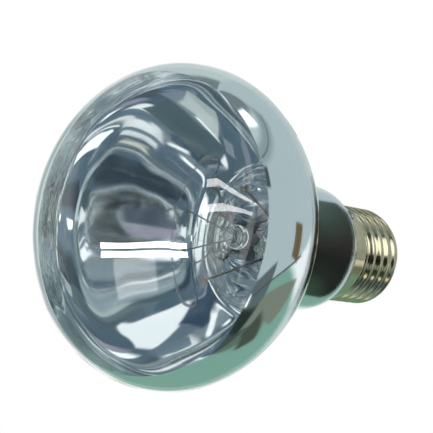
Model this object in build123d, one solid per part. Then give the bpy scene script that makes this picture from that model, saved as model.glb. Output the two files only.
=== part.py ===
from build123d import *
import os
from math import asin, atan2, cos, degrees, radians, sin, sqrt, tan

# Reflector basking lamp, 80 mm, with a clear tinted face, a silvered back and a 27 mm screw cap.
# All sizes are in millimetres and all angles in degrees.
# Each piece is modelled with the lamp's axis on Z, the end of the cap at the origin and the
# face at the top. It is then laid level, so that the face looks along -Y and the cap along +Y.

# Blown glass bulb
BULB_DIAMETER = 80.0
OVERALL_LENGTH = 107.0
FACE_CROWN = 2.6
RIM_RADIUS = 15.4
FLANK_START = 28.0
FLANK_END = 44.0
NECK_DIAMETER = 33.3
NECK_FILLET = 9.0
SHOULDER_RADIUS = 7.0
SHOULDER_TURN = 62.0
SEAL_DIAMETER = 22.0
SEAL_HEIGHT = 17.0
GLASS_WALL = 0.9

# Silvered skin a hair inside the glass, with its front edge on the rim ahead of the widest circle
# and its back edge above the flare of the stem
MIRROR_EDGE = 37.6
MIRROR_STOP = 1.5
MIRROR_CLEARANCE = 0.1
MIRROR_SKIN = 0.06

# Screw cap of rolled sheet with a round thread
CAP_HEIGHT = 27.0
CAP_CLEARANCE = 0.3
SHEET = 0.3
COLLAR_DIAMETER = 26.5
COLLAR_LENGTH = 4.6
THREAD_CREST = 26.4
THREAD_ROOT = 24.3
THREAD_PITCH = 25.4 / 7
CREST_FLAT = 0.7
ROOT_FLAT = 0.5
LIP_DIAMETER = 21.4
LIP_HEIGHT = 3.7
LIP_SLOPE = 45.0
NOTCH_WIDTH = 0.9

# Insulator, centre contact and solder at the end of the cap
INSULATOR_TOP = 7.0
INSULATOR_FLAT = 12.0
CONTACT_DIAMETER = 10.4
CONTACT_SHEET = 0.4
SOLDER_HEIGHT = 0.6
SOLDER_FLAT = 4.0
SOLDER_FOOT = 6.4
WIRE_HOLE = 2.4
SIDE_SOLDER_DIAMETER = 3.0
SIDE_SOLDER_TURN = 50.0

# Glass stem with its pinch, exhaust tube and the rod that ends in a button
STEM_TUBE_DIAMETER = 11.2
STEM_WALL = 1.0
PINCH_BASE = 30.0
PINCH_BLEND = 6.5
PINCH_TOP = 43.5
PINCH_WIDTH = 13.0
PINCH_THICKNESS = 4.6
EXHAUST_DIAMETER = 5.0
EXHAUST_WALL = 0.9
EXHAUST_TIP = 13.0
BLOW_HOLE = 1.6
ROD_DIAMETER = 3.3
BUTTON_DIAMETER = 6.4
BUTTON_HEIGHT = 62.4

# Leads, filament supports and filament, turned about the axis from straight up towards +X
MOUNT_TURN = 32.0
LEAD_SPACING = 7.0
LEAD_DIAMETER = 0.7
CLAMP_DIAMETER = 1.6
CLAMP_LENGTH = 2.2
SEAL_WIRE_DIAMETER = 0.6
OUTER_LEAD_DIAMETER = 0.5
SUPPORT_COUNT = 3
SUPPORT_DIAMETER = 0.4
SUPPORT_DEPTH = 2.2
HOOK_CLEARANCE = 0.05
HOOK_TURN = 250.0
FILAMENT_DIAMETER = 0.6
FILAMENT_RING = 25.8
FILAMENT_RISE = 5.2

# Sizes that follow from the driving ones
neck_radius = NECK_DIAMETER / 2
seal_radius = SEAL_DIAMETER / 2
collar_radius = COLLAR_DIAMETER / 2
crest_radius = THREAD_CREST / 2
root_radius = THREAD_ROOT / 2
lip_radius = LIP_DIAMETER / 2
stem_radius = STEM_TUBE_DIAMETER / 2
lead_radius = LEAD_SPACING / 2
ring_radius = FILAMENT_RING / 2
filament_height = BUTTON_HEIGHT + FILAMENT_RISE
contact_top = SOLDER_HEIGHT + CONTACT_SHEET
stem_bore_top = PINCH_BASE + STEM_WALL
rim_center = (BULB_DIAMETER / 2 - RIM_RADIUS, OVERALL_LENGTH - FACE_CROWN - RIM_RADIUS)


# Helpers

def turned(*edges):
    """Solid of revolution about the lamp's axis from a closed outline in radius and height."""
    return revolve(Plane.XZ * make_face(edges), Axis.Z)


def turned_outline(*points):
    """Solid of revolution from a closed outline of straight lines."""
    return turned(*Polyline(*points, close=True).edges())


def around(radius, turn, height):
    """Point at a radius and height, turned about the axis from straight up towards +X."""
    return Vector(radius * sin(radians(turn)), radius * cos(radians(turn)), height)


def radial_plane(turn):
    """Plane through the axis at a turn, with radius along its x and height along its y."""
    return Plane(origin=(0, 0, 0), x_dir=around(1, turn, 0), z_dir=around(1, turn + 90, 0))


def along(center, radius, slope):
    """Point at a distance from a centre in the direction of a slope."""
    return (
        center[0] + radius * cos(radians(slope)),
        center[1] + radius * sin(radians(slope)),
    )


def wire(diameter, path):
    """Round wire along a path, with rounded corners."""
    start = Plane(origin=path @ 0, z_dir=path % 0)
    return sweep(start * Circle(diameter / 2), path=path, transition=Transition.ROUND)


# Glass bulb and its silvering
# The outline is a run of arcs from the face to the cap that meet without a corner. Each is a
# centre, a radius and the slope of the outward normal at its two ends. A negative radius is a
# hollow curve, whose centre lies outside the glass.

def glass_arcs():
    """The arcs of the bulb's outer outline, worked out from its driving sizes."""
    face_height = RIM_RADIUS + FACE_CROWN
    crown_radius = (rim_center[0] ** 2 + face_height**2 - RIM_RADIUS**2) / (2 * FACE_CROWN)
    crown_center = (0, OVERALL_LENGTH - crown_radius)
    crown_slope = degrees(atan2(rim_center[1] - crown_center[1], rim_center[0]))

    # The flank's radius follows from the drop between the rim and the neck
    start_drop = cos(radians(FLANK_START))
    end_drop = cos(radians(FLANK_END))
    rim_end = rim_center[0] + RIM_RADIUS * start_drop
    fillet_drop = NECK_FILLET * (1 - end_drop)
    flank_radius = (rim_end - neck_radius - fillet_drop) / (start_drop - end_drop)
    flank_center = along(rim_center, RIM_RADIUS - flank_radius, -FLANK_START)
    fillet_center = along(flank_center, flank_radius + NECK_FILLET, -FLANK_END)

    # The shoulder stops just above the cap and turns back to the sealed end of the neck
    turn = radians(SHOULDER_TURN)
    shoulder_center = (
        neck_radius - SHOULDER_RADIUS,
        CAP_HEIGHT + CAP_CLEARANCE + SHOULDER_RADIUS * sin(turn),
    )
    shoulder_end = along(shoulder_center, SHOULDER_RADIUS, -SHOULDER_TURN)
    entry_radius = (shoulder_end[0] - seal_radius) / (1 - cos(turn))
    entry_center = along(shoulder_end, entry_radius, -SHOULDER_TURN)
    return [
        (crown_center, crown_radius, 90, crown_slope),
        (rim_center, RIM_RADIUS, crown_slope, -FLANK_START),
        (flank_center, flank_radius, -FLANK_START, -FLANK_END),
        (fillet_center, -NECK_FILLET, -FLANK_END, 0),
        (shoulder_center, SHOULDER_RADIUS, 0, -SHOULDER_TURN),
        (entry_center, -entry_radius, -SHOULDER_TURN, 0),
    ]


def glass_curve(arcs, inset):
    """Edges along the arcs at a depth below the outer surface, joined by straight stretches."""
    edges = []
    for center, radius, first, last in arcs:
        slopes = (first, (first + last) / 2, last)
        arc = ThreePointArc(*[along(center, radius - inset, slope) for slope in slopes])
        if edges and (arc @ 0 - edges[-1] @ 1).length > 1e-6:
            edges.append(Line(edges[-1] @ 1, arc @ 0))
        edges.append(arc)
    return edges


def glass_bulb():
    """Blown bulb of even wall, closed at the face and open at the sealed end of the neck."""
    outer = glass_curve(glass_arcs(), 0)
    inner = glass_curve(glass_arcs(), GLASS_WALL)
    outer_end = (seal_radius, SEAL_HEIGHT)
    inner_end = (seal_radius - GLASS_WALL, SEAL_HEIGHT)
    return turned(
        *outer,
        Line(outer[-1] @ 1, outer_end),
        Line(outer_end, inner_end),
        Line(inner_end, inner[-1] @ 1),
        *inner,
        Line(inner[0] @ 0, outer[0] @ 0),
    )


def mirror_coating():
    """Bright metal skin on the inside of the glass, from the rim into the sealed end of the neck."""
    back = glass_arcs()[2:]
    rim = (rim_center, RIM_RADIUS, MIRROR_EDGE, -FLANK_START)
    depth = GLASS_WALL + MIRROR_CLEARANCE
    outer = glass_curve([rim, *back], depth)
    inner = glass_curve([rim, *back], depth + MIRROR_SKIN)
    outer_end = (seal_radius - depth, SEAL_HEIGHT + MIRROR_STOP)
    inner_end = (seal_radius - depth - MIRROR_SKIN, SEAL_HEIGHT + MIRROR_STOP)
    return turned(
        *outer,
        Line(outer[-1] @ 1, outer_end),
        Line(outer_end, inner_end),
        Line(inner_end, inner[-1] @ 1),
        *inner,
        Line(inner[0] @ 0, outer[0] @ 0),
    )


# Screw cap

collar_base = CAP_HEIGHT - COLLAR_LENGTH
collar_foot = collar_base - (collar_radius - root_radius)


def lip_height(radius, inset):
    """Height at which the turned-in lip reaches a radius, at a depth below its outer face."""
    slope = radians(LIP_SLOPE)
    return LIP_HEIGHT + (radius - lip_radius) * tan(slope) + inset / cos(slope)


def thread_ridge():
    """Rounded ridge of the right-hand thread, drawn a little into the wall that carries it."""
    base_radius = root_radius - SHEET / 2
    rise = crest_radius - base_radius
    foot = (THREAD_PITCH - ROOT_FLAT) / 2
    bevel = rise / 3
    outline = Polyline(
        (0, -foot),
        (rise - bevel, -CREST_FLAT / 2 - 2 * bevel),
        (rise, -CREST_FLAT / 2),
        (rise, CREST_FLAT / 2),
        (rise - bevel, CREST_FLAT / 2 + 2 * bevel),
        (0, foot),
        close=True,
    )
    helix = Helix(THREAD_PITCH, collar_base - LIP_HEIGHT, base_radius, (0, 0, LIP_HEIGHT))
    plane = Plane(origin=helix @ 0, x_dir=(1, 0, 0), z_dir=(0, -1, 0))
    return Solid.sweep((plane * make_face(outline)).face(), helix, is_frenet=True)


def cap_shell():
    """Nickelled sheet shell with a plain collar, a rolled thread and a turned-in lip."""
    core = Cylinder(root_radius, CAP_HEIGHT, align=(Align.CENTER, Align.CENTER, Align.MIN))
    # The thread fades out on a cone at each end, at the lip and below the collar
    limit_radius = crest_radius + SHEET
    limit = turned_outline(
        (0, LIP_HEIGHT),
        (lip_radius, LIP_HEIGHT),
        (limit_radius, lip_height(limit_radius, 0)),
        (limit_radius, collar_foot - (limit_radius - root_radius)),
        (root_radius, collar_foot),
        (0, collar_foot),
    )
    collar = turned_outline(
        (0, collar_foot),
        (root_radius, collar_foot),
        (collar_radius, collar_base),
        (collar_radius, CAP_HEIGHT),
        (0, CAP_HEIGHT),
    )
    inside = root_radius - SHEET
    bore = turned_outline(
        (0, 0),
        (lip_radius - SHEET / sin(radians(LIP_SLOPE)) - LIP_HEIGHT / tan(radians(LIP_SLOPE)), 0),
        (inside, lip_height(inside, SHEET)),
        (inside, collar_foot),
        (collar_radius - SHEET, collar_base),
        (collar_radius - SHEET, CAP_HEIGHT + SHEET),
        (0, CAP_HEIGHT + SHEET),
    )
    notch = Pos(*around(collar_radius, SIDE_SOLDER_TURN, CAP_HEIGHT))
    notch = notch * Rot(0, 0, -SIDE_SOLDER_TURN) * Box(NOTCH_WIDTH, 4 * SHEET, 2 * NOTCH_WIDTH)
    return ((core + thread_ridge()) & limit) + collar - bore - notch


def cap_insulator():
    """Black glass that fills the end of the shell and carries the centre contact."""
    inside = root_radius - SHEET
    lip_inside = lip_radius - SHEET / sin(radians(LIP_SLOPE))
    return turned_outline(
        (WIRE_HOLE / 2, INSULATOR_TOP),
        (inside, INSULATOR_TOP),
        (inside, lip_height(inside, SHEET)),
        (lip_inside, LIP_HEIGHT),
        (INSULATOR_FLAT / 2, contact_top),
        (WIRE_HOLE / 2, contact_top),
    )


def centre_contact():
    """Round contact plate with an eased edge and a hole for the wire."""
    ease = CONTACT_SHEET / 2
    return turned_outline(
        (WIRE_HOLE / 2, SOLDER_HEIGHT),
        (CONTACT_DIAMETER / 2 - ease, SOLDER_HEIGHT),
        (CONTACT_DIAMETER / 2, SOLDER_HEIGHT + ease),
        (CONTACT_DIAMETER / 2, contact_top),
        (WIRE_HOLE / 2, contact_top),
    )


def centre_solder():
    """Flattened drop of solder that holds the wire in the contact plate."""
    swell = (SOLDER_FLAT + SOLDER_FOOT) / 4 + SOLDER_HEIGHT / 4
    drop = turned(
        Line((0, 0), (SOLDER_FLAT / 2, 0)),
        ThreePointArc((SOLDER_FLAT / 2, 0), (swell, SOLDER_HEIGHT / 2), (SOLDER_FOOT / 2, SOLDER_HEIGHT)),
        Line((SOLDER_FOOT / 2, SOLDER_HEIGHT), (WIRE_HOLE / 2, SOLDER_HEIGHT)),
        Line((WIRE_HOLE / 2, SOLDER_HEIGHT), (WIRE_HOLE / 2, contact_top)),
        Line((WIRE_HOLE / 2, contact_top), (0, contact_top)),
        Line((0, contact_top), (0, 0)),
    )
    return drop - centre_lead()


def side_solder():
    """Drop of solder on the outside of the collar, over the end of the side wire."""
    place = around(collar_radius, SIDE_SOLDER_TURN, CAP_HEIGHT - SIDE_SOLDER_DIAMETER / 3)
    blank = turned_outline(
        (0, 0),
        (collar_radius, 0),
        (collar_radius, CAP_HEIGHT),
        (BULB_DIAMETER, CAP_HEIGHT),
        (BULB_DIAMETER, OVERALL_LENGTH),
        (0, OVERALL_LENGTH),
    )
    return Pos(*place) * Sphere(SIDE_SOLDER_DIAMETER / 2) - blank - side_lead()


def basing_cement():
    """Ring of cement between the neck and the collar of the cap."""
    top = CAP_HEIGHT - SHEET - NOTCH_WIDTH
    ring = turned_outline(
        (seal_radius - GLASS_WALL, collar_base),
        (collar_radius - SHEET, collar_base),
        (collar_radius - SHEET, top),
        (seal_radius - GLASS_WALL, top),
    )
    cement = ring - glass_bulb() - side_lead()
    return cement.solids().sort_by(SortBy.VOLUME)[-1]


# Glass stem

def turn_mount(solid):
    """Turn a piece that was drawn with the leads upright to the mount's own turn."""
    return Rot(0, 0, -MOUNT_TURN) * solid


def stem():
    """Flared tube sealed to the neck, closed at the top by a flat pinch around the wires."""
    inner_neck = seal_radius - GLASS_WALL
    bend = inner_neck - stem_radius
    flare_top = SEAL_HEIGHT + bend
    center = (inner_neck, flare_top)
    bore = stem_radius - STEM_WALL
    tube = turned(
        Line((seal_radius, SEAL_HEIGHT), (inner_neck, SEAL_HEIGHT)),
        ThreePointArc(*[along(center, bend, slope) for slope in (-90, -135, -180)]),
        Line((stem_radius, flare_top), (stem_radius, PINCH_BASE)),
        Line((stem_radius, PINCH_BASE), (bore, PINCH_BASE)),
        Line((bore, PINCH_BASE), (bore, flare_top)),
        ThreePointArc(*[along(center, bend + STEM_WALL, slope) for slope in (-180, -135, -90)]),
        Line((inner_neck, SEAL_HEIGHT - STEM_WALL), (seal_radius, SEAL_HEIGHT - STEM_WALL)),
        Line((seal_radius, SEAL_HEIGHT - STEM_WALL), (seal_radius, SEAL_HEIGHT)),
    )
    # The softened end of the tube spreads sideways as two jaws press it flat
    blend_top = PINCH_BASE + PINCH_BLEND
    spread = turned_outline(
        (0, PINCH_BASE),
        (stem_radius, PINCH_BASE),
        (PINCH_WIDTH / 2, blend_top),
        (PINCH_WIDTH / 2, PINCH_TOP),
        (0, PINCH_TOP),
    )
    half = PINCH_THICKNESS / 2
    jaws = Polyline(
        (-stem_radius, PINCH_BASE),
        (stem_radius, PINCH_BASE),
        (half, blend_top),
        (half, PINCH_TOP),
        (-half, PINCH_TOP),
        (-half, blend_top),
        close=True,
    )
    press = extrude(Plane.XZ * make_face(jaws), PINCH_WIDTH, both=True)
    upright = (Align.CENTER, Align.CENTER, Align.MIN)
    hollow = Pos(0, 0, PINCH_BASE) * Cylinder(bore, STEM_WALL, align=upright)
    blow_hole = Rot(0, 45, 0) * Cylinder(BLOW_HOLE / 2, PINCH_WIDTH, align=upright)
    solid = tube + (spread & press) - hollow - Pos(0, 0, stem_bore_top) * blow_hole
    return turn_mount(solid) - seal_wire(0) - seal_wire(180)


def exhaust_tube():
    """Pumping tube under the pinch, melted to a round closed tip inside the cap."""
    outer = EXHAUST_DIAMETER / 2
    bore = outer - EXHAUST_WALL
    center = (0, EXHAUST_TIP + outer)
    return turned(
        Line((bore, stem_bore_top), (outer, stem_bore_top)),
        Line((outer, stem_bore_top), (outer, center[1])),
        ThreePointArc(*[along(center, outer, slope) for slope in (0, -45, -90)]),
        Line((0, EXHAUST_TIP), (0, EXHAUST_TIP + EXHAUST_WALL)),
        ThreePointArc(*[along(center, bore, slope) for slope in (-90, -45, 0)]),
        Line((bore, center[1]), (bore, stem_bore_top)),
    )


def support_rod():
    """Glass rod on the pinch that ends in a round button for the filament supports."""
    rod = ROD_DIAMETER / 2
    ball = BUTTON_DIAMETER / 2
    meet = BUTTON_HEIGHT - sqrt(ball**2 - rod**2)
    solid = turned(
        Line((0, PINCH_TOP), (rod, PINCH_TOP)),
        Line((rod, PINCH_TOP), (rod, meet)),
        ThreePointArc((rod, meet), (ball, BUTTON_HEIGHT), (0, BUTTON_HEIGHT + ball)),
        Line((0, BUTTON_HEIGHT + ball), (0, PINCH_TOP)),
    )
    for number in range(SUPPORT_COUNT):
        solid -= filament_support(number)
    return solid


# Wires and filament

def support_turn(number):
    """Turn of one filament support, spread evenly over the half ring between the leads."""
    return MOUNT_TURN - 180 * (number + 1) / (SUPPORT_COUNT + 1)


def filament():
    """Coiled filament drawn as a plain rod, stretched over the supports between the leads."""
    turns = [MOUNT_TURN, *map(support_turn, range(SUPPORT_COUNT)), MOUNT_TURN - 180]
    path = Polyline(*[around(ring_radius, turn, filament_height) for turn in turns])
    return wire(FILAMENT_DIAMETER, path)


def filament_support(number):
    """Thin wire from the button that ends in a hook around the filament."""
    ball = BUTTON_DIAMETER / 2
    hook = FILAMENT_DIAMETER / 2 + HOOK_CLEARANCE + SUPPORT_DIAMETER / 2
    root = (ball - SUPPORT_DEPTH, BUTTON_HEIGHT)
    reach = Vector(ring_radius - root[0], filament_height - root[1])
    slope = degrees(atan2(reach.Y, reach.X) - asin(hook / reach.length))
    meet = along(root, sqrt(reach.length**2 - hook**2), slope)
    straight = Line(root, meet)
    loop = CenterArc((ring_radius, filament_height), hook, slope - 90, HOOK_TURN)
    path = radial_plane(support_turn(number)) * Wire([straight, loop])
    return wire(SUPPORT_DIAMETER, path)


def inner_lead(turn):
    """Stiff lead from the pinch to one end of the filament, with a folded clamp at its tip."""
    foot = around(lead_radius, MOUNT_TURN + turn, PINCH_TOP)
    tip = around(ring_radius, MOUNT_TURN + turn, filament_height)
    lead = wire(LEAD_DIAMETER, Polyline(foot, tip))
    number = 0 if turn == 0 else SUPPORT_COUNT - 1
    next_hook = around(ring_radius, support_turn(number), filament_height)
    across = Plane(origin=tip, z_dir=next_hook - tip)
    clamp = across * Cylinder(CLAMP_DIAMETER / 2, CLAMP_LENGTH)
    return trim_foot(lead, PINCH_TOP) + clamp - filament()


def trim_foot(solid, height):
    """Cut a slanting wire level where it leaves the glass."""
    size = BULB_DIAMETER
    below = Pos(0, 0, height) * Box(size, size, size, align=(Align.CENTER, Align.CENTER, Align.MAX))
    return solid - below


def seal_wire(turn):
    """Short wire fused into the pinch that joins an inner lead to an outer one."""
    foot = around(lead_radius, MOUNT_TURN + turn, stem_bore_top)
    top = around(lead_radius, MOUNT_TURN + turn, PINCH_TOP)
    return wire(SEAL_WIRE_DIAMETER, Polyline(foot, top))


def centre_lead():
    """Outer lead from the pinch down the stem and through the insulator to the contact."""
    bend = INSULATOR_TOP + WIRE_HOLE / 2
    path = Polyline(
        around(lead_radius, MOUNT_TURN + 180, stem_bore_top),
        around(lead_radius, MOUNT_TURN + 180, bend + lead_radius),
        (0, 0, bend),
        (0, 0, SOLDER_HEIGHT / 2),
    )
    return wire(OUTER_LEAD_DIAMETER, path)


def side_lead():
    """Outer lead that turns under the flare and climbs between glass and shell to the collar."""
    between = (seal_radius + root_radius - SHEET) / 2
    collar_inside = collar_radius - SHEET - OUTER_LEAD_DIAMETER
    under_flare = SEAL_HEIGHT - 3 * STEM_WALL
    exit_height = CAP_HEIGHT - NOTCH_WIDTH / 2
    path = Polyline(
        around(lead_radius, MOUNT_TURN, stem_bore_top),
        around(lead_radius, MOUNT_TURN, under_flare),
        around(between, SIDE_SOLDER_TURN, under_flare),
        around(between, SIDE_SOLDER_TURN, collar_foot),
        around(collar_inside, SIDE_SOLDER_TURN, collar_base + collar_inside - between),
        around(collar_inside, SIDE_SOLDER_TURN, exit_height),
        around(collar_radius + OUTER_LEAD_DIAMETER, SIDE_SOLDER_TURN, exit_height),
    )
    return wire(OUTER_LEAD_DIAMETER, path)


# Finished pieces, one file each

LAY_LEVEL = Rot(90, 0, 0)

pieces = {
    "glass_bulb": glass_bulb(),
    "mirror_coating": mirror_coating(),
    "cap_shell": cap_shell(),
    "cap_insulator": cap_insulator(),
    "centre_contact": centre_contact(),
    "centre_solder": centre_solder(),
    "side_solder": side_solder(),
    "basing_cement": basing_cement(),
    "stem": stem(),
    "exhaust_tube": exhaust_tube(),
    "support_rod": support_rod(),
    "filament": filament(),
    "centre_lead": centre_lead(),
    "side_lead": side_lead(),
}
for side, turn in (("upper", 0), ("lower", 180)):
    pieces[f"{side}_inner_lead"] = inner_lead(turn)
    pieces[f"{side}_seal_wire"] = seal_wire(turn)
for number in range(SUPPORT_COUNT):
    pieces[f"filament_support_{number + 1}"] = filament_support(number)

os.makedirs("parts", exist_ok=True)
for node, solid in pieces.items():
    export_step(LAY_LEVEL * solid, f"parts/{node}.step")
print(f"{len(pieces)} pieces written")
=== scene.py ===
# %% [markdown]
# # A silvered reflector bulb, step by step
# The lamp is an 80 mm blown bulb: a clear tinted face, a mirror on the inside of its back, a
# filament on a glass stem and a nickelled screw cap. Nearly all that the eye sees on it is a
# reflection or a refraction, so smooth meshes and well-placed surroundings matter more here
# than painted patterns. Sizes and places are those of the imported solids.

from math import atan2, cos, degrees, exp, pi, radians, sin

import bpy
from mathutils import Matrix, Vector


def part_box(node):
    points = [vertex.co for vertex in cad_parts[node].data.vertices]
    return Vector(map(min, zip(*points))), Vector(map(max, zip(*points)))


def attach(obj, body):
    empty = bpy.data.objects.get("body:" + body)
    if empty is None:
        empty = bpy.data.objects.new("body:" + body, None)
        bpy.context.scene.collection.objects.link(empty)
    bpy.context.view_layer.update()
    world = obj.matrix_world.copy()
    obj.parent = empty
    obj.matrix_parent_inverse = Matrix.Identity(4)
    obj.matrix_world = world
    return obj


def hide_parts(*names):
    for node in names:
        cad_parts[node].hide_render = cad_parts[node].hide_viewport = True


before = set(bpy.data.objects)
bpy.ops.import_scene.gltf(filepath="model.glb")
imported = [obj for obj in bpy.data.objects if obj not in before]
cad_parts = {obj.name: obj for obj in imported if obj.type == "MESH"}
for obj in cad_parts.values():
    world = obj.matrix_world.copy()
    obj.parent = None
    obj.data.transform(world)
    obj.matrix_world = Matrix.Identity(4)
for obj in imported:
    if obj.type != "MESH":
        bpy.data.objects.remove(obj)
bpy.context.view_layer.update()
print("solids:", len(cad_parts))

# %% [markdown]
# ## Colours and nodes
# Colours are written as the hex values that a picture program shows. Blender mixes light in
# linear values, so one function turns them over. A second small function adds a node, sets
# it up and links it, which keeps every material below short enough to read. A third starts a
# material with the values that are the same all over it.

# %% Helpers for all materials
MM = 0.001


def linear(hex_code):
    """sRGB hex to the linear values that shaders take."""
    parts = [int(hex_code[i:i + 2], 16) / 255 for i in (1, 3, 5)]
    parts = [p / 12.92 if p <= 0.04045 else ((p + 0.055) / 1.055) ** 2.4 for p in parts]
    return (*parts, 1.0)


def node(tree, kind, inputs=None, **settings):
    """Add a node, set its properties, and fill or link its inputs."""
    made = tree.nodes.new(kind)
    for name, value in settings.items():
        setattr(made, name, value)
    for socket, value in (inputs or {}).items():
        if isinstance(value, bpy.types.NodeSocket):
            tree.links.new(value, made.inputs[socket])
        else:
            made.inputs[socket].default_value = value
    return made


def finish(name, hex_code, **sockets):
    """A material with one shader, whose even values sit on the shader's own sockets."""
    material = bpy.data.materials.new(name)
    material.use_nodes = True
    shader = material.node_tree.nodes["Principled BSDF"]
    shader.inputs["Base Color"].default_value = linear(hex_code)
    for socket, value in sockets.items():
        shader.inputs[socket.replace("_", " ")].default_value = value
    return material, material.node_tree, shader


print("helpers ready")

# %% [markdown]
# ## The bulb's outline
# A bulb is blown into a mould, so its section is a run of arcs that flow into each other. The
# outline could be traced by hand with a curve, but arcs with named radii keep it the same as
# the solid's. Each arc is a centre, a radius and the slope of the glass at its two ends. Points
# are a radius from the lamp's axis and a height from the end of the cap.

# %% Arcs from the face to the cap, in millimetres
LENGTH = -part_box("glass_bulb")[0].y / MM
BULB_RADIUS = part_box("glass_bulb")[1].z / MM
FACE_CROWN = 2.6
RIM_RADIUS = 15.4
FLANK_START, FLANK_END = 28.0, 44.0
NECK_RADIUS = 16.65
NECK_FILLET = 9.0
SHOULDER_RADIUS = 7.0
SHOULDER_TURN = 62.0
SHOULDER_HEIGHT = 27.3
SEAL_RADIUS = 11.0
SEAL_HEIGHT = 17.0
RIM_CENTER = (BULB_RADIUS - RIM_RADIUS, LENGTH - FACE_CROWN - RIM_RADIUS)


def along(center, radius, slope):
    """Point at a distance from a centre in the direction of a slope."""
    return (center[0] + radius * cos(radians(slope)), center[1] + radius * sin(radians(slope)))


def glass_arcs():
    """Arcs of the outer surface: crown, rim, flank, neck fillet, shoulder and entry."""
    face = RIM_RADIUS + FACE_CROWN
    crown = (RIM_CENTER[0] ** 2 + face**2 - RIM_RADIUS**2) / (2 * FACE_CROWN)
    crown_center = (0, LENGTH - crown)
    crown_slope = degrees(atan2(RIM_CENTER[1] - crown_center[1], RIM_CENTER[0]))
    start, end = cos(radians(FLANK_START)), cos(radians(FLANK_END))
    drop = RIM_CENTER[0] + RIM_RADIUS * start - NECK_RADIUS - NECK_FILLET * (1 - end)
    flank = drop / (start - end)
    flank_center = along(RIM_CENTER, RIM_RADIUS - flank, -FLANK_START)
    fillet_center = along(flank_center, flank + NECK_FILLET, -FLANK_END)
    turn = radians(SHOULDER_TURN)
    shoulder = (NECK_RADIUS - SHOULDER_RADIUS, SHOULDER_HEIGHT + SHOULDER_RADIUS * sin(turn))
    shoulder_end = along(shoulder, SHOULDER_RADIUS, -SHOULDER_TURN)
    entry = (shoulder_end[0] - SEAL_RADIUS) / (1 - cos(turn))
    entry_center = along(shoulder_end, entry, -SHOULDER_TURN)
    return [
        (crown_center, crown, 90, crown_slope),
        (RIM_CENTER, RIM_RADIUS, crown_slope, -FLANK_START),
        (flank_center, flank, -FLANK_START, -FLANK_END),
        (fillet_center, -NECK_FILLET, -FLANK_END, 0),
        (shoulder, SHOULDER_RADIUS, 0, -SHOULDER_TURN),
        (entry_center, -entry, -SHOULDER_TURN, 0),
    ]


print("outline arcs:", len(glass_arcs()))

# %% [markdown]
# ## Easing the outline
# Where two arcs meet, the slope runs on but the bend jumps. On plain paint nobody would see
# that, but a mirror shows it as a hard line. Hot glass has no such jumps, so the slopes are
# averaged over a few millimetres and the outline is walked again from the face. The edge of
# the domed face stays as it is, because it shows on the real bulb.

# %% Slopes along the arcs
FINE_STEP = 0.1


def arc_slopes():
    """Slope of the glass at each small step along the arcs and the straights between them."""
    steps = []
    arcs = glass_arcs()
    for number, (center, radius, first, last) in enumerate(arcs):
        count = round(abs(radius) * radians(abs(first - last)) / FINE_STEP)
        steps += [first + (last - first) * (i + 0.5) / count for i in range(count)]
        foot = along(center, radius, last)[1]
        below = SEAL_HEIGHT
        if number + 1 < len(arcs):
            next_center, next_radius, next_slope, _ = arcs[number + 1]
            below = along(next_center, next_radius, next_slope)[1]
        steps += [last] * max(0, round((foot - below) / FINE_STEP))
    return steps


print("outline steps:", len(arc_slopes()))

# %% Eased slopes and the walk along them
EASE_LENGTH = 2.5
# Slopes above this, in degrees, belong to the face and the front of the rim and stay
EASE_FROM = 10.0
reach = round(3 * EASE_LENGTH / FINE_STEP)
shifts = range(-reach, reach + 1)
weights = [exp(-0.5 * (shift * FINE_STEP / EASE_LENGTH) ** 2) for shift in shifts]


def eased(steps):
    """Slopes averaged with their neighbours, except at the front."""
    smooth = []
    for i, slope in enumerate(steps):
        if slope <= EASE_FROM:
            near = [steps[min(max(i + shift, 0), len(steps) - 1)] for shift in shifts]
            slope = sum(w * n for w, n in zip(weights, near)) / sum(weights)
        smooth.append(slope)
    return smooth


slopes = [90.0, *eased(arc_slopes())]
point = Vector((0, LENGTH))
outline = [point.copy()]
for slope in slopes[1:]:
    point += FINE_STEP * Vector((sin(radians(slope)), -cos(radians(slope))))
    outline.append(point.copy())
# The walk ends a little off the seal, and the miss is shared out along the eased part
ease_start = next(i for i, slope in enumerate(slopes) if slope <= EASE_FROM)
miss = Vector((SEAL_RADIUS, SEAL_HEIGHT)) - outline[-1]
for i in range(ease_start, len(outline)):
    outline[i] += miss * (i - ease_start) / (len(outline) - 1 - ease_start)
print("closing error mm:", round(miss.length, 3))

# %% The outline at a depth in the wall
# A ring of the mesh at every seventh step is fine enough
WALL_STRIDE = 7


def wall(inset, first, last):
    """Outline at a depth below the outer surface, between two steps. Step 0 is on the axis."""
    picks = list(range(first, last, WALL_STRIDE)) + [last]
    return [(outline[i].x - inset * cos(radians(slopes[i])) if i else 0.0,
             outline[i].y - inset * sin(radians(slopes[i]))) for i in picks]


print("rings on one wall:", len(wall(0, 0, len(outline) - 1)))

# %% [markdown]
# ## Turning outlines into meshes
# Blender's Screw modifier can turn an outline, but a mesh made in code keeps exact poles and
# needs nothing applied. The lamp's axis lies along Y with the end of its cap at the origin,
# so a point at a radius and a height goes to minus that height on Y.

# %% Pieces of the lamp
# Corners sharper than this, in degrees, stay hard
SHARP_CORNER = 35


def keep(mesh_object, slot, *nodes):
    """Let a new piece ride on the lamp and stand for its solids. The slot is not used."""
    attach(mesh_object, "root")
    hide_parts(*nodes)


def mesh_piece(name, points, faces, material, sharp=SHARP_CORNER):
    """Mesh object in metres from points in millimetres, smooth except at sharp corners."""
    mesh = bpy.data.meshes.new(name)
    mesh.from_pydata([Vector(p) * MM for p in points], [], faces)
    mesh.validate()
    mesh.shade_smooth()
    mesh.set_sharp_from_angle(angle=radians(sharp))
    mesh.materials.append(material)
    piece = bpy.data.objects.new(name, mesh)
    bpy.context.scene.collection.objects.link(piece)
    print(name, "faces:", len(mesh.polygons))
    return piece


print("corners kept hard above:", SHARP_CORNER)

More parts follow.
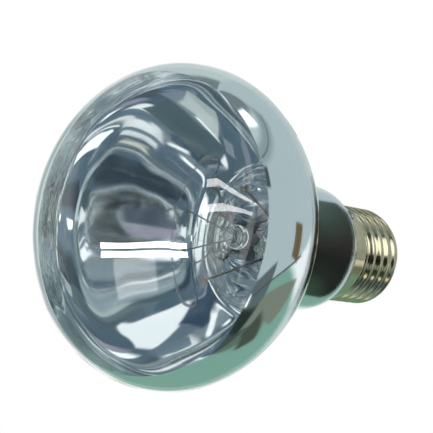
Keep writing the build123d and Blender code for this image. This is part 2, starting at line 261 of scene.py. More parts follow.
# %% A lathe for closed outlines
TURN_STEPS = 192
TURNS = [2 * pi * i / TURN_STEPS for i in range(TURN_STEPS)]
ON_AXIS = 1e-6


def lathe(name, section, material):
    """Closed piece of revolution. The section runs with the material on its right side."""
    points, rings, faces = [], [], []
    for radius, height in section:
        if radius < ON_AXIS:
            rings.append([len(points)])
            points.append((0, -height, 0))
            continue
        rings.append(range(len(points), len(points) + TURN_STEPS))
        points += [(radius * cos(turn), -height, radius * sin(turn)) for turn in TURNS]
    pairs = list(zip(rings, rings[1:]))
    if len(rings[0]) > 1:
        pairs.append((rings[-1], rings[0]))
    for a, b in pairs:
        for i in range(TURN_STEPS):
            j = (i + 1) % TURN_STEPS
            corners = [a[i % len(a)], b[i % len(b)], b[j % len(b)], a[j % len(a)]]
            corners = list(dict.fromkeys(corners))
            if len(corners) > 2:
                faces.append(corners)
    return mesh_piece(name, points, faces, material)


print("lathe ready, steps:", TURN_STEPS)

# %% [markdown]
# ## Blown neodymium glass
# The bulb is soda-lime glass with a little neodymium oxide, which takes out some yellow light
# and leaves a faint cool cast. A single sheet with a see-through shader could stand for it,
# but a wall with two faces gives the double reflections that the eye knows from a bulb, so it
# is a closed wall with full transmission.

# %% Glass material
# To the eye: clear and faintly cool. Blown glass is never quite even, so a slow swell about
# 18 mm wide bends it a little, and straight reflections waver as if they were liquid.
glass, tree, shader = finish(
    "neodymium_soda_lime_glass", "#f4f9fa",
    Transmission_Weight=1.0, Roughness=0.0, IOR=1.52,
)
place = node(tree, "ShaderNodeTexCoord").outputs["Object"]
swell = node(tree, "ShaderNodeTexNoise", {
    "Vector": place, "Scale": 1 / (18 * MM), "Detail": 1.0,
})
bump = node(tree, "ShaderNodeBump", {
    "Height": swell.outputs["Fac"], "Strength": 0.05, "Distance": 2 * MM,
})
tree.links.new(bump.outputs["Normal"], shader.inputs["Normal"])
print(glass.name)

# %% [markdown]
# ## Bulb glass
# The wall runs from the middle of the face to the sealed end of the neck and back inside. It
# replaces the solid's mesh, whose flat facets would show as kinks in every reflection.

# %% Bulb glass mesh
GLASS_WALL = 0.9
outer = wall(0, 0, len(outline) - 1)
inner = wall(GLASS_WALL, 0, len(outline) - 1)
bulb = lathe("bulb_glass", outer + inner[::-1], glass)
keep(bulb, "tinted_glass", "glass_bulb")

# %% [markdown]
# ## Silvering
# Metal is boiled off in a vacuum inside the bulb and settles on the glass as a bright film. It
# could be a second material on the inside of the glass, but the film is a solid of its own in
# the part, so it is a closed skin here too. The skin lies a hair inside the glass, so that no
# two faces share a place.

# %% Silvering material
# To the eye: a cold, bright mirror. The film is a little duller where it is thin, in clouds
# about 14 mm wide. Like the glass that it lies on, it swells slowly, here about 22 mm wide.
silver, tree, shader = finish("evaporated_silver_film", "#fafbfb", Metallic=1.0)
place = node(tree, "ShaderNodeTexCoord").outputs["Object"]
cloud = node(tree, "ShaderNodeTexNoise", {
    "Vector": place, "Scale": 1 / (14 * MM), "Detail": 3.0,
})
dullness = node(tree, "ShaderNodeMapRange", {
    "Value": cloud.outputs["Fac"], "To Min": 0.02, "To Max": 0.06,
})
tree.links.new(dullness.outputs["Result"], shader.inputs["Roughness"])
shade = node(tree, "ShaderNodeMix", {
    "Factor": cloud.outputs["Fac"], "A": linear("#f6f8f8"), "B": linear("#fdfdfd"),
}, data_type="RGBA")
tree.links.new(shade.outputs["Result"], shader.inputs["Base Color"])
swell = node(tree, "ShaderNodeTexNoise", {
    "Vector": place, "Scale": 1 / (22 * MM), "Detail": 1.0,
})
bump = node(tree, "ShaderNodeBump", {
    "Height": swell.outputs["Fac"], "Strength": 0.1, "Distance": 2 * MM,
})
tree.links.new(bump.outputs["Normal"], shader.inputs["Normal"])
print(silver.name)

# %% Silvered skin
# Slope of the glass at the mirror's front edge, in degrees
MIRROR_EDGE = 37.6
# Gap to the glass, thickness, and how far the film stops short of the sealed end
FILM_GAP, FILM_SKIN, FILM_STOP = 0.1, 0.06, 1.5
film_start = next(i for i, slope in enumerate(slopes) if slope <= MIRROR_EDGE)
film_end = next(i for i, point in enumerate(outline) if point.y <= SEAL_HEIGHT + FILM_STOP)
film_out = wall(GLASS_WALL + FILM_GAP, film_start, film_end)
film_in = wall(GLASS_WALL + FILM_GAP + FILM_SKIN, film_start, film_end)
film = lathe("silver_film", film_out + film_in[::-1], silver)
keep(film, "silvering", "mirror_coating")

# %% [markdown]
# ## Film on the flare
# The flare is the trumpet of clear glass that joins the stem to the neck. In the photograph
# the bottom of the neck is bright, and what makes it so can't be seen. A film on the flare is
# a guess: without it, the dark inside of the cap shows through. A thin skin just above the
# glass follows the flare's arc and turns up the wall.

# %% Flare film
FLARE_CENTER = (10.1, 21.5)
FLARE_RADIUS = 4.5
SLANTS = range(-180, -90, 5)
# Where the skin turns up the wall: two corners of its bright side, then two of its hidden side
SKIRT = [(9.90, 17.2), (9.90, 18.4), (9.96, 18.4), (9.96, 17.14)]
bright = [along(FLARE_CENTER, FLARE_RADIUS - FILM_GAP - FILM_SKIN, slant) for slant in SLANTS]
hidden = [along(FLARE_CENTER, FLARE_RADIUS - FILM_GAP, slant) for slant in SLANTS]
flare_film = lathe("flare_film", bright + SKIRT + hidden[::-1], silver)
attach(flare_film, "root")

# %% [markdown]
# ## Screw cap
# The shell is drawn from brass sheet, its thread is rolled in, and it is plated with a thin
# coat of nickel that lets some of the brass warmth through. A displaced cylinder would
# stretch at the ends, so the radius is worked out for each point instead: a wave along the
# helix, held back by a cone at the lip and one below the collar.

# %% Nickelled brass
# To the eye: a warm grey metal, paler and yellower in stains about 5 mm wide. Drawing leaves
# hair lines around the shell. They are too fine to show, so they are drawn 0.5 mm wide.
nickel, tree, shader = finish("nickel_plated_brass", "#b9b18f", Metallic=1.0, Roughness=0.14)
place = node(tree, "ShaderNodeTexCoord").outputs["Object"]
stain = node(tree, "ShaderNodeTexNoise", {
    "Vector": place, "Scale": 1 / (5 * MM), "Detail": 4.0,
})
shade = node(tree, "ShaderNodeMix", {
    "Factor": stain.outputs["Fac"], "A": linear("#b3aa85"), "B": linear("#ddd7bc"),
}, data_type="RGBA")
tree.links.new(shade.outputs["Result"], shader.inputs["Base Color"])
rub = node(tree, "ShaderNodeMapRange", {
    "Value": stain.outputs["Fac"], "To Min": 0.08, "To Max": 0.2,
})
tree.links.new(rub.outputs["Result"], shader.inputs["Roughness"])
squeeze = node(tree, "ShaderNodeMapping", {"Vector": place, "Scale": (0.15, 1.0, 0.15)})
hair_lines = node(tree, "ShaderNodeTexNoise", {
    "Vector": squeeze.outputs["Vector"], "Scale": 1 / (0.5 * MM),
})
bump = node(tree, "ShaderNodeBump", {
    "Height": hair_lines.outputs["Fac"], "Strength": 0.05, "Distance": 0.1 * MM,
})
tree.links.new(bump.outputs["Normal"], shader.inputs["Normal"])
print(nickel.name)

# %% Radius of the threaded shell, in millimetres
CAP_HEIGHT = -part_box("cap_shell")[0].y / MM
COLLAR_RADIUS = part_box("cap_shell")[1].x / MM
COLLAR_LENGTH = 4.6
CREST_RADIUS, ROOT_RADIUS = 13.2, 12.15
THREAD_PITCH = 25.4 / 7
LIP_RADIUS, LIP_HEIGHT = 10.7, 3.7
EASE = 0.35
COLLAR_BASE = CAP_HEIGHT - COLLAR_LENGTH
COLLAR_FOOT = COLLAR_BASE - (COLLAR_RADIUS - ROOT_RADIUS)


def soft_min(a, b):
    """The smaller of two, with a rounded change from one to the other."""
    h = max(EASE - abs(a - b), 0) / EASE
    return min(a, b) - h * h * EASE / 4


def shell_radius(turn, height):
    """Outside of the shell at a turn and a height."""
    phase = (height - LIP_HEIGHT) / THREAD_PITCH - turn / (2 * pi)
    wave = ROOT_RADIUS + (CREST_RADIUS - ROOT_RADIUS) * (0.5 + 0.5 * cos(2 * pi * phase))
    lip = LIP_RADIUS + height - LIP_HEIGHT
    fade = ROOT_RADIUS + max(COLLAR_FOOT - height, 0)
    threaded = soft_min(soft_min(wave, lip), fade)
    collar = soft_min(COLLAR_RADIUS, ROOT_RADIUS + height - COLLAR_FOOT)
    return max(threaded, collar) if height < CAP_HEIGHT else COLLAR_RADIUS - EASE / 3


print("cap height mm:", round(CAP_HEIGHT, 2), "collar radius mm:", round(COLLAR_RADIUS, 2))

# %% Shell mesh
SHEET = 0.3
ROW_STEP = 0.12
rows = round((CAP_HEIGHT - LIP_HEIGHT) / ROW_STEP)
heights = [LIP_HEIGHT + (CAP_HEIGHT - LIP_HEIGHT) * i / rows for i in range(rows + 1)]
inside = [
    (COLLAR_RADIUS - SHEET, CAP_HEIGHT),
    (COLLAR_RADIUS - SHEET, COLLAR_BASE),
    (ROOT_RADIUS - SHEET, COLLAR_FOOT),
    (ROOT_RADIUS - SHEET, LIP_HEIGHT + ROOT_RADIUS - LIP_RADIUS),
    (LIP_RADIUS - SHEET, LIP_HEIGHT),
]
spots = [(shell_radius(turn, height), turn, height) for height in heights for turn in TURNS]
spots += [(radius, turn, height) for radius, height in inside for turn in TURNS]
points = [(radius * cos(turn), -height, radius * sin(turn)) for radius, turn, height in spots]
ring_count = len(points) // TURN_STEPS
faces = []
for ring in range(ring_count):
    a, b = ring * TURN_STEPS, (ring + 1) % ring_count * TURN_STEPS
    for i in range(TURN_STEPS):
        j = (i + 1) % TURN_STEPS
        faces.append((a + i, a + j, b + j, b + i))
shell = mesh_piece("threaded_shell", points, faces, nickel)
keep(shell, "nickelled_brass", "cap_shell")

# %% [markdown]
# ## Filament
# The filament is tungsten wire wound into a fine coil, which hangs in straight spans from lead
# to hook to hook. A curve with a bevel would do, but the coil's own turns catch the light, so
# it is wound in code along the solid's spans. The real coil is finer, and it is drawn as
# coarse as it needs to show.

# %% Tungsten
# To the eye: a grey, softly shining wire. Drawing marks are finer than the wire itself, so a
# grain of 0.4 mm stands for them.
tungsten, tree, shader = finish("drawn_tungsten", "#c4c4c7", Metallic=1.0, Roughness=0.3)
place = node(tree, "ShaderNodeTexCoord").outputs["Object"]
grain = node(tree, "ShaderNodeTexNoise", {"Vector": place, "Scale": 1 / (0.4 * MM)})
shade = node(tree, "ShaderNodeMix", {
    "Factor": grain.outputs["Fac"], "A": linear("#c6c6c9"), "B": linear("#e6e6e8"),
}, data_type="RGBA")
tree.links.new(shade.outputs["Result"], shader.inputs["Base Color"])
print(tungsten.name)

# %% Middle line of the wound wire, in millimetres
MOUNT_TURN = 32.0
RING_RADIUS = 12.9
FILAMENT_HEIGHT = 67.6
SPANS = 4
COIL_RADIUS, COIL_PITCH, COIL_STEPS = 0.22, 0.42, 10


def around(radius, turn, height):
    """Point at a radius and height, turned about the axis from straight up towards +X."""
    return Vector((radius * sin(radians(turn)), -height, radius * cos(radians(turn))))


hangers = [
    around(RING_RADIUS, MOUNT_TURN - 180 * i / SPANS, FILAMENT_HEIGHT) for i in range(SPANS + 1)
]
axis = Vector((0, -1, 0))
centers = []
for a, b in zip(hangers, hangers[1:]):
    count = round((b - a).length / COIL_PITCH * COIL_STEPS)
    side = (b - a).normalized().cross(axis)
    for i in range(count):
        angle = 2 * pi * len(centers) / COIL_STEPS
        spot = a.lerp(b, i / count)
        centers.append(spot + COIL_RADIUS * (cos(angle) * axis + sin(angle) * side))
print("turns of the coil:", len(centers) // COIL_STEPS)

# %% Wire around that line
WIRE_RADIUS, WIRE_SIDES = 0.04, 6
WIRE_CORNER = 80
points, faces = [], []
for i, center in enumerate(centers):
    ahead = centers[min(i + 1, len(centers) - 1)] - centers[max(i - 1, 0)]
    # The wire's cross direction is carried along, so that its sides don't twist
    across = ahead.orthogonal() if i == 0 else across - across.project(ahead)
    across = across.normalized()
    upright = ahead.normalized().cross(across)
    for k in range(WIRE_SIDES):
        angle = 2 * pi * k / WIRE_SIDES
        points.append(center + WIRE_RADIUS * (cos(angle) * across + sin(angle) * upright))
for i in range(len(centers) - 1):
    a, b = i * WIRE_SIDES, (i + 1) * WIRE_SIDES
    for k in range(WIRE_SIDES):
        n = (k + 1) % WIRE_SIDES
        faces.append((a + k, a + n, b + n, b + k))
faces.append(tuple(range(WIRE_SIDES))[::-1])
faces.append(tuple(range(len(points) - WIRE_SIDES, len(points))))
coil = mesh_piece("filament_coil", points, faces, tungsten, sharp=WIRE_CORNER)
keep(coil, "tungsten", "filament")

# %% [markdown]
# ## Stem glass
# The stem, the exhaust tube and the rod with its button are drawn and pinched from glass tube.
# Their solids have the right form already, so they stay and only get a finish. A tint would
# darken the mount at every surface that light passes, so this glass is nearly colourless.

# %% Stem glass
# To the eye: clear, with bright edges. Cords in drawn glass, about 3 mm wide, ripple what
# shows through it.
stem_glass, tree, shader = finish(
    "clear_stem_glass", "#fbfdfb", Transmission_Weight=1.0, Roughness=0.0, IOR=1.54,
)
place = node(tree, "ShaderNodeTexCoord").outputs["Object"]
cords = node(tree, "ShaderNodeTexNoise", {
    "Vector": place, "Scale": 1 / (3 * MM), "Detail": 2.0,
})
bump = node(tree, "ShaderNodeBump", {
    "Height": cords.outputs["Fac"], "Strength": 0.03, "Distance": 1 * MM,
})
tree.links.new(bump.outputs["Normal"], shader.inputs["Normal"])
print(stem_glass.name)

# %% [markdown]
# ## Finishes of the smaller pieces
# The insulator, contact, solder, cement and wires keep their solids too. Each could have its
# own cell, but they differ only in two tones, a grain and a roughness, so one loop makes them
# all from a table. Draw marks on thin wires are too fine to show and are drawn about half a
# millimetre wide.

# %% Plain finishes with a mottle
MOTTLED = {
    # name: darker tone, lighter tone, grain in mm, bump, metallic, roughness
    # Nearly black, with soft glossy highlights
    "pressed_black_glass": ("#0c0c0f", "#1c1b20", 1.5, 0.05, 0.0, 0.12),
    # Warm yellow, with blurred reflections
    "bare_contact_brass": ("#a98a4c", "#cfb271", 0.8, 0.1, 1.0, 0.28),
    # Dull grey with a lumpy skin
    "tin_solder": ("#8b8b88", "#bdbdb9", 0.7, 0.25, 1.0, 0.36),
    # Chalky, with no shine
    "baked_lamp_cement": ("#b9ac92", "#d8ccb4", 0.5, 0.5, 0.0, 0.9),
    # Pale with a soft sheen
    "nickel_lead_wire": ("#8f8b80", "#bcb8ab", 0.5, 0.1, 1.0, 0.3),
    # Reddish with a soft sheen
    "copper_clad_wire": ("#9c5a3a", "#c98a63", 0.5, 0.1, 1.0, 0.35),
    # Darker grey, so that it shows against the mirror
    "molybdenum_wire": ("#77777b", "#a5a5a9", 0.4, 0.1, 1.0, 0.32),
}
SMOOTHER, ROUGHER = 0.7, 1.3
finishes = {"clear_stem_glass": stem_glass}
for name, (dark, light, grain_mm, depth, metallic, roughness) in MOTTLED.items():
    material, tree, shader = finish(name, light, Metallic=metallic)
    place = node(tree, "ShaderNodeTexCoord").outputs["Object"]
    grain = node(tree, "ShaderNodeTexNoise", {
        "Vector": place, "Scale": 1 / (grain_mm * MM), "Detail": 3.0,
    })
    shade = node(tree, "ShaderNodeMix", {
        "Factor": grain.outputs["Fac"], "A": linear(dark), "B": linear(light),
    }, data_type="RGBA")
    worn = node(tree, "ShaderNodeMapRange", {
        "Value": grain.outputs["Fac"],
        "To Min": roughness * SMOOTHER, "To Max": min(1, roughness * ROUGHER),
    })
    bump = node(tree, "ShaderNodeBump", {
        "Height": grain.outputs["Fac"], "Strength": depth, "Distance": grain_mm * MM / 4,
    })
    tree.links.new(shade.outputs["Result"], shader.inputs["Base Color"])
    tree.links.new(worn.outputs["Result"], shader.inputs["Roughness"])
    tree.links.new(bump.outputs["Normal"], shader.inputs["Normal"])
    finishes[name] = material
print("finishes:", ", ".join(finishes))

# %% Dress the solids that stay
DRESSED = {
    "clear_stem_glass": ("stem", "exhaust_tube", "support_rod"),
    "pressed_black_glass": ("cap_insulator",),
    "bare_contact_brass": ("centre_contact",),
    "tin_solder": ("centre_solder", "side_solder"),
    "baked_lamp_cement": ("basing_cement",),
    "nickel_lead_wire": ("upper_inner_lead", "lower_inner_lead"),
    "copper_clad_wire": ("centre_lead", "side_lead", "upper_seal_wire", "lower_seal_wire"),
    "molybdenum_wire": ("filament_support_1", "filament_support_2", "filament_support_3"),
}
for name, nodes in DRESSED.items():
    for solid in nodes:
        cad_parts[solid].material_slots[0].material = finishes[name]
print("dressed:", sum(map(len, DRESSED.values())))

# %% [markdown]
# ## Camera
# The photograph looks into the face from one side and from a little below. The camera could be
# placed by eye, but a mirror changes with every degree, so its place and its lens come from
# fitting the outline of the bulb.

# %% Camera
# Where the camera stands, in metres, and its angles about the lamp, in degrees
CAMERA_PLACE = (0.2626, -0.4061, -0.0525)
CAMERA_AZIMUTH, CAMERA_ELEVATION = 38.05, -7.607
SENSOR_WIDTH, LENS_LENGTH = 36.0, 142.63
camera = bpy.data.objects.new("camera", bpy.data.cameras.new("camera"))
camera.location = CAMERA_PLACE
camera.rotation_euler = (radians(90 - CAMERA_ELEVATION), 0, radians(CAMERA_AZIMUTH))
camera.data.sensor_width = SENSOR_WIDTH
camera.data.lens = LENS_LENGTH
camera.data.clip_start = 0.01
bpy.context.scene.collection.objects.link(camera)
bpy.context.scene.camera = camera
print("lens:", camera.data.lens)

# %% [markdown]
# ## Floor
# A mirror shows its room, so the room is part of the picture, and the next cells build it. The
# floor is a sheet of pale paper. It lies 20 mm under the lamp, because the camera looks up
# from a little below and a nearer floor would come into the picture. Mirrors and glass don't
# see it. They see the surroundings that follow.

# %% Pale paper
# To the eye: matt and nearly white. Clouds in its pulp are too fine to show, so they are drawn
# 25 mm wide.
paper, tree, shader = finish("pale_paper", "#e6e9e7", Roughness=0.8)
place = node(tree, "ShaderNodeTexCoord").outputs["Object"]
pulp = node(tree, "ShaderNodeTexNoise", {
    "Vector": place, "Scale": 1 / (25 * MM), "Detail": 4.0,
})
shade = node(tree, "ShaderNodeMix", {
    "Factor": pulp.outputs["Fac"], "A": linear("#e3e6e4"), "B": linear("#e9ecea"),
}, data_type="RGBA")
tree.links.new(shade.outputs["Result"], shader.inputs["Base Color"])
print(paper.name)

# %% Floor sheet, in metres
FLOOR_HEIGHT = -0.06
FLOOR_RADIUS = 0.45
FLOOR_MIDDLE = -0.05
FLOOR_SIDES = 96
edge = [2 * pi * i / FLOOR_SIDES for i in range(FLOOR_SIDES)]
floor_mesh = bpy.data.meshes.new("floor")
floor_mesh.from_pydata(
    [(FLOOR_RADIUS * cos(t), FLOOR_RADIUS * sin(t) + FLOOR_MIDDLE, FLOOR_HEIGHT) for t in edge],
    [], [tuple(range(FLOOR_SIDES))],
)
floor_mesh.materials.append(paper)
floor = bpy.data.objects.new("floor", floor_mesh)
bpy.context.scene.collection.objects.link(floor)
floor.visible_glossy = False
floor.visible_transmission = False
print("floor at", FLOOR_HEIGHT)

# %% [markdown]
# ## Dark cards beside the neck and the cap
# Cards of painted shade stand just out of the picture. Only mirrors and glass see them, and
# they darken what the mirrors show. The neck is dark in the middle with pale edges, and only
# something close beside it is mirrored that way, so a cut card stands there and two small ones
# stand by the cap.

# %% Painted shade with bands from bottom to top
# Seen only in the mirrors, as painted shade: dark, with no shine. Its tone changes with
# height, from 38 mm below the lamp's axis to 24 mm above it.
SHADE_TONES = (
    (0.0, "#4c4e42"), (0.18, "#4e684e"), (0.31, "#30362e"), (0.47, "#272521"),
    (0.61, "#3c3833"), (0.77, "#485148"), (0.94, "#5e6d66"),
)
painted_shade, tree, shader = finish("painted_shade_card", "#4a4b44", Roughness=1.0)
place = node(tree, "ShaderNodeTexCoord").outputs["Object"]
rise = node(tree, "ShaderNodeSeparateXYZ", {"Vector": place}).outputs["Z"]
level = node(tree, "ShaderNodeMapRange", {
    "Value": rise, "From Min": -38 * MM, "From Max": 24 * MM,
})
bands = node(tree, "ShaderNodeValToRGB", {"Fac": level.outputs["Result"]})
for position, hex_code in SHADE_TONES[1:-1]:
    bands.color_ramp.elements.new(position)
for element, (position, hex_code) in zip(bands.color_ramp.elements, SHADE_TONES):
    element.position, element.color = position, linear(hex_code)
tree.links.new(bands.outputs["Color"], shader.inputs["Base Color"])
print(painted_shade.name, "bands:", len(SHADE_TONES))


# %% Cards of painted shade
def card(name, material, corners):
    """Flat card with corners in millimetres, which only mirrors and glass see."""
    mesh = bpy.data.meshes.new(name)
    corners = [Vector(corner) * MM for corner in corners]
    mesh.from_pydata(corners, [], [tuple(range(len(corners)))])
    mesh.materials.append(material)
    piece = bpy.data.objects.new(name, mesh)
    bpy.context.scene.collection.objects.link(piece)
    piece.visible_camera = False
    piece.visible_diffuse = False
    piece.visible_shadow = False
    print(name, "corners:", len(corners))


# A cut card of painted shade beside the neck, and two oval ones by the cap
NECK_SHADE_Y = -27.6
NECK_SHADE = (
    (12.5, 23.5), (16.5, 22.8), (20.0, 21.3), (23.3, 18.8), (26.2, 15.4), (28.4, 12.0),
    (30.0, 8.0), (31.0, 4.0), (31.3, 0.0), (31.0, -4.5), (30.0, -9.0), (27.3, -14.5),
    (24.8, -18.5), (21.8, -21.8), (18.5, -24.4), (15.0, -26.2), (11.5, -27.5), (8.0, -28.2),
    (4.5, -27.5), (6.0, -21.0), (8.5, -17.0), (13.5, -11.0), (15.6, -6.0), (16.0, 0.0),
    (15.2, 5.0), (13.2, 10.0), (12.2, 16.0),
)
card("neck_shade_card", painted_shade, [(x, NECK_SHADE_Y, z) for x, z in NECK_SHADE])
CAP_SHADE_X, CAP_SHADE_SIDES = 30, 24
# Oval cards: middle along the axis and up, half length and half height
CAP_SHADES = ((-22, -8.4, 8.5, 4.8), (-24, -25.5, 8, 6.5))
edge = [2 * pi * i / CAP_SHADE_SIDES for i in range(CAP_SHADE_SIDES)]
for number, (y, z, half_y, half_z) in enumerate(CAP_SHADES):
    oval = [(CAP_SHADE_X, y + half_y * cos(t), z + half_z * sin(t)) for t in edge]
    card(f"cap_shade_card_{number}", painted_shade, oval)

# %% [markdown]
# ## Cards ahead of the face
# Some shapes in the mirror come from things near the face. Far surroundings can't give them,
# because every part of the mirror that looks the same way would show them too. So three cards
# stand 63 mm ahead of the face. They glow by themselves, which keeps their tone even.

# %% Front cards
FRONT_Y = -170.0
FRONT_CARDS = (
    # tone, corners across and up in millimetres
    ("#b9c1be", ((26, -54.5), (56, -60), (56, -104), (30, -104))),
    ("#4d5f66", ((20, -22), (28, -19), (40, -18), (52, -14), (61, -14), (61, -56), (45, -55),
                 (30, -53), (18, -50), (18, -36))),
    ("#6f8290", ((52, 58), (60, 51), (76, 57), (80, 80), (70, 88), (56, 86))),
)
for number, (hex_code, corners) in enumerate(FRONT_CARDS):
    # Painted light: each card glows with its own even tone, where a real card would be lit
    glow, tree, shader = finish(f"front_glow_{number}", "#000000", Emission_Strength=1.0)
    shader.inputs["Emission Color"].default_value = linear(hex_code)
    card(f"front_card_{number}", glow, [(x, FRONT_Y, z) for x, z in corners])

# %% [markdown]
# ## Surroundings by direction
# The background is white. Mirrors and glass see a room instead: a pale wall on the right, a
# green ground, and a dim room with bright boards behind the camera. The room isn't known, so
# its panels were placed until the lamp looked right. They could be real cards, but a sky that
# depends on the direction does the same with no noise. Plain surfaces get an even soft light.

# %% Two angles of a direction
world = bpy.data.worlds.new("studio")
bpy.context.scene.world = world
world.use_nodes = True
tree = world.node_tree
tree.nodes.clear()
facing = radians(CAMERA_AZIMUTH)
direction = node(tree, "ShaderNodeTexCoord").outputs["Generated"]
ahead = node(tree, "ShaderNodeVectorMath", {
    0: direction, 1: (-sin(facing), cos(facing), 0),
}, operation="DOT_PRODUCT").outputs["Value"]
aside = node(tree, "ShaderNodeVectorMath", {
    0: direction, 1: (cos(facing), sin(facing), 0),
}, operation="DOT_PRODUCT").outputs["Value"]
height = node(tree, "ShaderNodeSeparateXYZ", {"Vector": direction}).outputs["Z"]
azimuth = node(tree, "ShaderNodeMath", {
    0: aside, 1: ahead,
}, operation="ARCTAN2").outputs["Value"]
elevation = node(tree, "ShaderNodeMath", {0: height}, operation="ARCSINE").outputs["Value"]
print("azimuth 0 is straight beyond the lamp, to the right it is positive")

# %% Panels, each painted over those above it
PANELS = [
    # colour, gain, from and to azimuth, from and to elevation in degrees, tilt of the upper
    # and lower edge as a slope, softness of the edges in degrees
    # Walls beyond the lamp, and the ceiling
    ("#c3d2cf", 1.0, 4, 40, -40, 60, 0, 12),
    ("#a3b2b2", 1.0, -64, -22, -22, 32, 0, 12),
    ("#c6d0d1", 1.0, -181, 181, 28, 95, 0, 12),
    ("#7b8688", 1.0, -181, 181, 68, 95, 0, 8),
    # Green ground, the pale wall on the right, and what is on them
    ("#84ab9c", 1.0, -64, 181, -95, -18, 0, 8),
    ("#b9c5c8", 1.0, 18, 181, -23, 60, -0.45, 3),
    ("#93a3a6", 1.0, 74, 181, 40, 54, -0.3, 10),
    ("#66726f", 1.0, 78, 181, 44, 45.2, -0.3, 1),
    ("#64776c", 1.0, 70, 181, -95, -50, 0, 24),
    ("#485650", 1.0, 108, 181, -95, -46, 0, 18),
    ("#82877a", 1.0, 58, 122, -54, -29.4, -0.45, 2),
    ("#626d70", 1.0, 120, 160, -54, -29.4, -0.45, 3),
    ("#4a4e46", 1.0, 66, 160, -30, -28.6, -0.45, 1),
    ("#715f45", 1.0, 74, 92, -14, 3, 0, 2),
    ("#4c5549", 1.0, 56, 104, -68, -50, 0, 6),
    ("#2c3634", 1.0, 126, 160, -72, -53, 0, 6),
    ("#ffffff", 1.5, 113, 143, 60, 73, 0, 4),
    # Dim room behind the camera
    ("#5c7080", 1.0, -181, -84, -95, 80, 0, 6),
    ("#5c7080", 1.0, 156, 181, -95, 80, 0, 10),
    ("#f6f4e4", 1.0, 158, 172, 67, 82, 0, 4),
    ("#a4b2b8", 1.0, -181, -90, -82, -50, 0, 8),
    ("#35414c", 1.0, -150, -114, -46, -24, 0, 8),
    # Wall on the left
    ("#8fa09f", 1.0, -87, -44, -60, 4, 0, 8),
    ("#e6f3f2", 1.0, -83, -44, 1, 34, 0, 6),
    # Dark and bright boards from there to behind the camera
    ("#343e48", 1.0, -126, -85, 8, 27, 0, 5),
    ("#ffffff", 2.2, -110.5, -98.8, -7, -0.1, 0, 0.8),
    ("#85929a", 1.0, -181, -159, 6, 29, 0, 4),
    ("#98a3a9", 1.0, -150, -124, 38, 49, 0, 4),
    ("#ffffff", 1.6, -169, -148, 30.5, 39, 0, 2),
    # White board behind the camera, with dark edges that give it slanting sides
    ("#ffffff", 1.25, -181, -160.5, -32, 9, 0, 2),
    ("#ffffff", 1.25, 174, 181, -20, 11, 0, 2),
    ("#566a78", 1.0, -171.5, -155, -36, -13.25, 1.0, 2),
    ("#566a78", 1.0, -181, -171.5, -45, -20.85, -2.2, 2),
    ("#566a78", 1.0, 172, 181, -30, -4.9, -2.2, 2),
    ("#6f8290", 1.0, 172, 181, 9.8, 22, -0.67, 2),
    ("#6f8290", 1.0, -181, -172.5, 5.3, 18, -0.67, 2),
    ("#3d5166", 1.0, -173, -160.5, -3.2, 16, -0.67, 2),
    # Smaller bright and dark boards around it
    ("#ffffff", 1.15, 172, 181, 22, 60, 0, 4),
    ("#ffffff", 1.0, -181, -177, 17, 44, 0, 3),
    ("#ffffff", 1.3, -174.5, -166.5, 20.5, 26.5, -2.2, 2),
    ("#ffffff", 1.3, 149, 168, -51.5, -43, 0, 2),
    ("#4a555b", 1.0, 141, 172, 21, 34, 0, 3),
    ("#525a68", 1.0, 150, 172, -26, -8, 0, 4),
    ("#a8a2b3", 1.0, 150, 172, -7, 3, 0, 3),
    ("#ffffff", 1.5, 158, 170, 4, 13, 0, 3),
    # Straight ahead of the face
    ("#f2f6f6", 1.25, -151, -122, -9, 9, 0, 4),
    ("#ffffff", 1.6, -150, -138, 3, 10, 0, 2),
]
print("panels:", len(PANELS))

# %% Paint the panels
# Each panel is masked by four soft edges, two across and two up, over a white ground
colour = linear("#ffffff")
for hex_code, gain, az_from, az_to, el_from, el_to, tilt, soft in PANELS:
    middle = radians((az_from + az_to) / 2)
    lift = node(tree, "ShaderNodeMath", {
        0: azimuth, 1: -tilt, 2: middle * tilt,
    }, operation="MULTIPLY_ADD").outputs["Value"]
    slanted = node(tree, "ShaderNodeMath", {
        0: elevation, 1: lift,
    }, operation="ADD").outputs["Value"]
    mask = None
    for angle, low, high in ((azimuth, az_from, az_to), (slanted, el_from, el_to)):
        for border, sign in ((low, 1), (high, -1)):
            ramp = node(tree, "ShaderNodeMapRange", {
                "Value": angle, "From Min": radians(border - sign * soft / 2),
                "From Max": radians(border + sign * soft / 2),
            }, interpolation_type="SMOOTHSTEP").outputs["Result"]
            mask = ramp if mask is None else node(tree, "ShaderNodeMath", {
                0: mask, 1: ramp,
            }, operation="MULTIPLY").outputs["Value"]
    colour = node(tree, "ShaderNodeMix", {
        "Factor": mask, "A": colour, "B": Vector(linear(hex_code)) * gain,
    }, data_type="RGBA").outputs["Result"]
print("nodes for the panels:", len(tree.nodes))

# %% What the camera, mirrors and plain surfaces see
path = node(tree, "ShaderNodeLightPath")
mirror_or_glass = node(tree, "ShaderNodeMath", {
    0: path.outputs["Is Glossy Ray"], 1: path.outputs["Is Transmission Ray"],
}, operation="MAXIMUM")
soft_light = node(tree, "ShaderNodeMix", {
    "Factor": mirror_or_glass.outputs["Value"], "A": linear("#f0f3f3"), "B": colour,
}, data_type="RGBA")
background = node(tree, "ShaderNodeMix", {
    "Factor": path.outputs["Is Camera Ray"],
    "A": soft_light.outputs["Result"], "B": linear("#ffffff"),
}, data_type="RGBA")
sky = node(tree, "ShaderNodeBackground", {
    "Color": background.outputs["Result"], "Strength": 1.0,
})
node(tree, "ShaderNodeOutputWorld", {"Surface": sky.outputs["Background"]})
print("world nodes:", len(tree.nodes))

# %% [markdown]
# ## Strip lights
# The thin bright bars on the face are tube lights, mirrored in the first surface of the glass.
# They could be panels of the sky, but then the silvering behind the glass would show them
# again. Area lights can be hidden from light that has passed through glass, so they show once.
# One small light beside the cap gives its thread a highlight.

# %% Strip lights and a small panel
LAMP_CENTER = Vector((0, -0.09, 0))


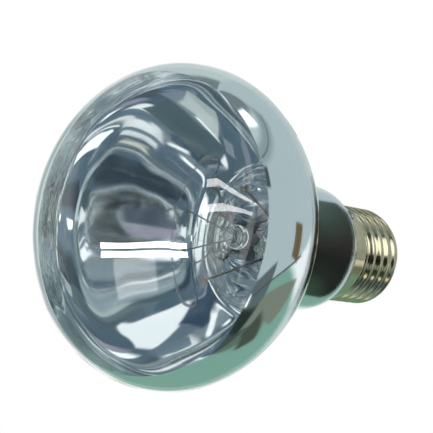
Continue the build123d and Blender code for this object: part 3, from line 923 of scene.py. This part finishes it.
def soft_box(name, place, back, roll, width, depth, power, shape="RECTANGLE"):
    """Area light at a place. It shines away from the direction at its back."""
    data = bpy.data.lights.new(name, "AREA")
    data.shape = shape
    data.size, data.size_y, data.energy = width, depth, power
    light = bpy.data.objects.new(name, data)
    light.location = place
    aim = back.to_track_quat("Z", "Y").to_matrix()
    light.rotation_euler = (aim @ Matrix.Rotation(radians(roll), 3, "Z")).to_euler()
    light.visible_camera = False
    light.visible_transmission = False
    bpy.context.scene.collection.objects.link(light)
    print(name, [round(v, 3) for v in light.location])


STRIPS = (
    # name, azimuth to the left, elevation and roll in degrees, length and width in metres,
    # power in watts. All stand 1 m from the lamp.
    ("upper_strip", 108, 1.5, -4.6, 0.46, 0.021, 1.2),
    ("lower_strip", 108, -0.3, -4.6, 0.46, 0.021, 1.2),
    ("upper_side_strip", 154, 13.8, -2.5, 1.06, 0.034, 1.3),
    ("lower_side_strip", 154, 7.7, -3.5, 1.06, 0.034, 1.3),
)
for name, left, up, roll, length, width, power in STRIPS:
    turn, level = radians(CAMERA_AZIMUTH + left), cos(radians(up))
    out = Vector((-sin(turn) * level, cos(turn) * level, sin(radians(up))))
    soft_box(name, LAMP_CENTER + out, out, roll, length, width, power)
CAP_PANEL_PLACE, CAP_PANEL_BACK = Vector((30, -19, 5.5)) * MM, Vector((1, 0, 0))
CAP_PANEL_WIDTH, CAP_PANEL_DEPTH, CAP_PANEL_POWER = 12 * MM, 17 * MM, 0.0007
soft_box("cap_panel", CAP_PANEL_PLACE, CAP_PANEL_BACK, 0,
         CAP_PANEL_WIDTH, CAP_PANEL_DEPTH, CAP_PANEL_POWER, "ELLIPSE")

# %% [markdown]
# ## Last lines
# The plain view transform keeps colours as they were written. Light bounces many times between
# the silvering and the glass, so the bounce limits are raised.

# %% Finish
scene = bpy.context.scene
scene.view_settings.view_transform = "Standard"
scene.cycles.max_bounces = 32
scene.cycles.glossy_bounces = 20
scene.cycles.transmission_bounces = 24
